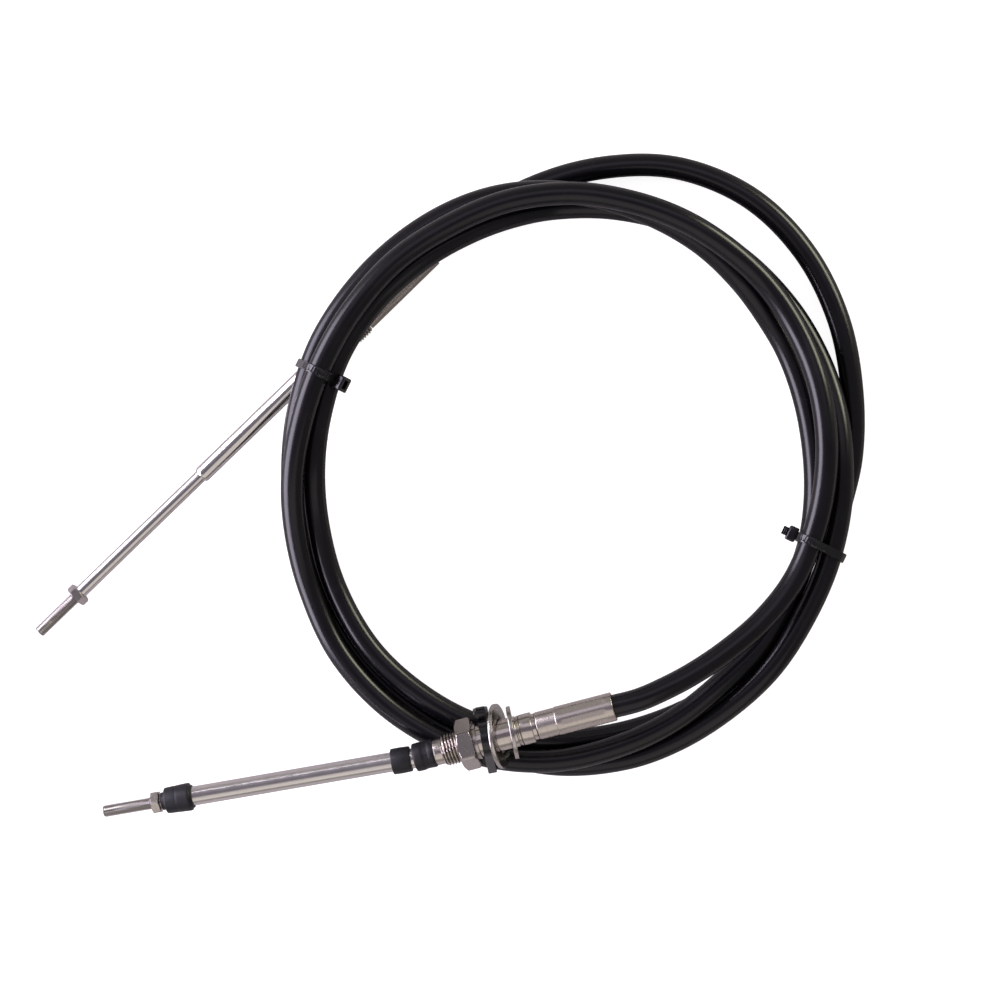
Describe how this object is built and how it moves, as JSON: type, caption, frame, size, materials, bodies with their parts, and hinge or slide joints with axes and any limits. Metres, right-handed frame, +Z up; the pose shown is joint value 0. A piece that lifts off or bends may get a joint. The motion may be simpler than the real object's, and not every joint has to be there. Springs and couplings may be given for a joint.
{
  "type": "boat steering cable",
  "caption": "Coiled push-pull steering cable in a black conduit, with a stainless swivel fitting and threaded rod at each end.",
  "frame": {"origin": "middle of the whole outline seen from above, on the level floor that the coil lies on", "axes": "+Z up from the floor, +X to the right and +Y away as the picture shows the coil from above"},
  "size_m": [0.4038, 0.3214, 0.0529],
  "materials": {
    "conduit_jacket": "black extruded jacket, satin",
    "stainless_steel": "drawn and turned stainless, bright",
    "machined_steel": "pressed and machined, satin",
    "seal_rubber": "moulded rubber, matte",
    "tie_nylon": "moulded nylon, glossy"
  },
  "bodies": {
    "cable": {"conduit": "conduit_jacket", "bulkhead_hub": "stainless_steel", "swivel_boot_a": "seal_rubber", "hub_nut": "machined_steel", "front_washer": "machined_steel", "back_washer": "machined_steel", "crimp_ferrule_a": "stainless_steel", "short_hub": "stainless_steel", "swivel_boot_b": "seal_rubber", "crimp_sleeve_b": "stainless_steel", "hub_tie": "tie_nylon", "left_tie": "tie_nylon", "right_tie": "tie_nylon"},
    "arm_a": {"guide_tube_a": "stainless_steel", "tube_seal_a": "seal_rubber", "wiper_boot": "seal_rubber"},
    "rod_a": {"output_rod_a": "stainless_steel", "jam_nut_a": "machined_steel"},
    "arm_b": {"guide_tube_b": "stainless_steel", "tube_seal_b": "seal_rubber"},
    "rod_b": {"output_rod_b": "stainless_steel", "jam_nut_b": "machined_steel"}
  },
  "joints": [
    {"name": "swivel_a", "type": "hinge", "parent": "cable", "child": "arm_a", "pos_m": [-0.01732, -0.1308, 0.03324], "axis": [0, 0, 1], "range_deg": [-3.2, 12.7]},
    {"name": "rod_a_slide", "type": "slide", "parent": "arm_a", "child": "rod_a", "axis": [-0.9787, -0.177, -0.1045], "range_m": [0, 0.065]},
    {"name": "swivel_b", "type": "hinge", "parent": "cable", "child": "arm_b", "pos_m": [-0.05523, 0.06893, 0.00832], "axis": [0, 0, 1], "range_deg": [-8, 8]},
    {"name": "rod_b_slide", "type": "slide", "parent": "arm_b", "child": "rod_b", "axis": [-0.7181, -0.6959, 0], "range_m": [-0.065, 0]}
  ],
  "couplings": [
    {"joint": "rod_b_slide", "follows": "rod_a_slide", "ratio": -1}
  ]
}
